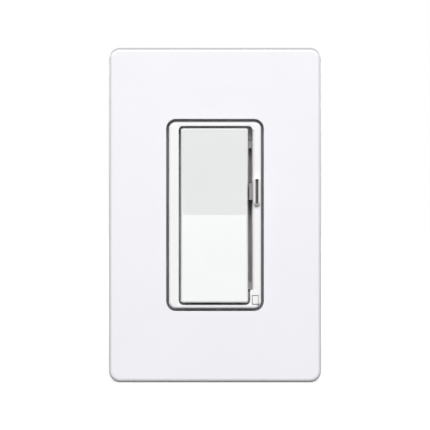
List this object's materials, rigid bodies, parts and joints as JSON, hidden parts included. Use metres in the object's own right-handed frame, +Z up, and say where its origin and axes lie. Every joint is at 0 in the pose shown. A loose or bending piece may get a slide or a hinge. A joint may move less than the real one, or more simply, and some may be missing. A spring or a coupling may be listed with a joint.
{
  "type": "smart dimmer switch",
  "caption": "Paddle dimmer switch for a one-gang wall box: rocking paddle, side slider, pull-out service tab, screwless wall plate and rear housing with screw terminals.",
  "frame": {"origin": "midway between the two box screws, on the rear face of the mounting strap, which is the wall plane", "axes": "+Z up, +Y into the wall, +X to the right as the user faces the switch"},
  "size_m": [0.0756, 0.0413, 0.119],
  "materials": {
    "gloss_white": "moulded gloss white, UV-stable thermoplastic",
    "satin_white": "moulded satin white nylon",
    "housing_black": "moulded fine-textured black flame-retardant thermoplastic",
    "strap_aluminium": "punched and formed sheet, mill finish",
    "zinc_steel": "zinc plated",
    "green_screw": "green dyed zinc plate",
    "brass": "plain brass",
    "tinned_steel": "tin-plated folded sheet",
    "spring_bronze": "phosphor bronze strip",
    "copper_wire": "enamelled copper",
    "board_green": "glass-epoxy board with green solder mask",
    "switch_black": "moulded black nylon",
    "phenolic": "punched phenolic board",
    "polyester_film": "clear amber film",
    "silicone_pad": "grey filled silicone",
    "epoxy_black": "moulded black epoxy",
    "epoxy_blue": "dipped blue epoxy",
    "film_yellow": "moulded yellow case",
    "clear_acrylic": "clear moulded acrylic",
    "led_yellow": "phosphor-filled resin",
    "ferrite": "sintered ferrite"
  },
  "bodies": {
    "housing": {"wallplate_cover": "gloss_white", "wallplate_adapter": "satin_white", "adapter_screws": "zinc_steel", "box_screws": "zinc_steel", "yoke": "strap_aluminium", "ground_screw": "green_screw", "bezel_frame": "gloss_white", "paddle_axle": "zinc_steel", "upper_switch_body": "switch_black", "lower_switch_body": "switch_black", "slide_pot_housing": "switch_black", "slide_pot_track": "phenolic", "air_gap_contacts": "brass", "rear_housing": "housing_black", "housing_screws": "zinc_steel", "terminal_plates": "brass", "terminal_clamps": "brass", "terminal_screws": "brass", "control_board": "board_green", "power_board": "board_green", "insulator_film": "polyester_film", "thermal_pad": "silicone_pad", "power_transistors": "epoxy_black", "transistor_clamp": "zinc_steel", "clamp_screw": "zinc_steel", "radio_module": "tinned_steel", "control_chip": "epoxy_black", "status_led": "led_yellow", "light_pipe": "clear_acrylic", "antenna": "spring_bronze", "board_header": "switch_black", "board_socket": "switch_black", "choke_core": "ferrite", "choke_winding": "copper_wire", "film_capacitor": "film_yellow", "storage_capacitor": "epoxy_black", "varistor": "epoxy_blue", "thermal_fuse": "tinned_steel"},
    "paddle": {"paddle": "gloss_white"},
    "upper_plunger": {"upper_switch_plunger": "switch_black"},
    "lower_plunger": {"lower_switch_plunger": "switch_black"},
    "slider": {"slider_knob": "gloss_white", "slide_pot_lever": "switch_black", "wiper_contacts": "spring_bronze"},
    "air_gap": {"air_gap_tab": "gloss_white", "air_gap_bridge": "spring_bronze"}
  },
  "joints": [
    {"name": "paddle_rock", "type": "hinge", "parent": "housing", "child": "paddle", "pos_m": [0, -0.0034, 0], "axis": [1, 0, 0], "range_deg": [-2.5, 2.5], "stiffness_Nm_per_rad": 0.3},
    {"name": "upper_press", "type": "slide", "parent": "housing", "child": "upper_plunger", "axis": [0, 1, 0], "range_m": [-0.0008, 0.0008]},
    {"name": "lower_press", "type": "slide", "parent": "housing", "child": "lower_plunger", "axis": [0, 1, 0], "range_m": [-0.0008, 0.0008]},
    {"name": "slider_travel", "type": "slide", "parent": "housing", "child": "slider", "axis": [0, 0, 1], "range_m": [-0.0308, 0.0142]},
    {"name": "air_gap_pull", "type": "slide", "parent": "housing", "child": "air_gap", "axis": [0, -1, 0], "range_m": [0, 0.003]}
  ],
  "couplings": [
    {"joint": "upper_press", "follows": "paddle_rock", "m_per_rad": -0.018},
    {"joint": "lower_press", "follows": "paddle_rock", "m_per_rad": 0.018}
  ]
}
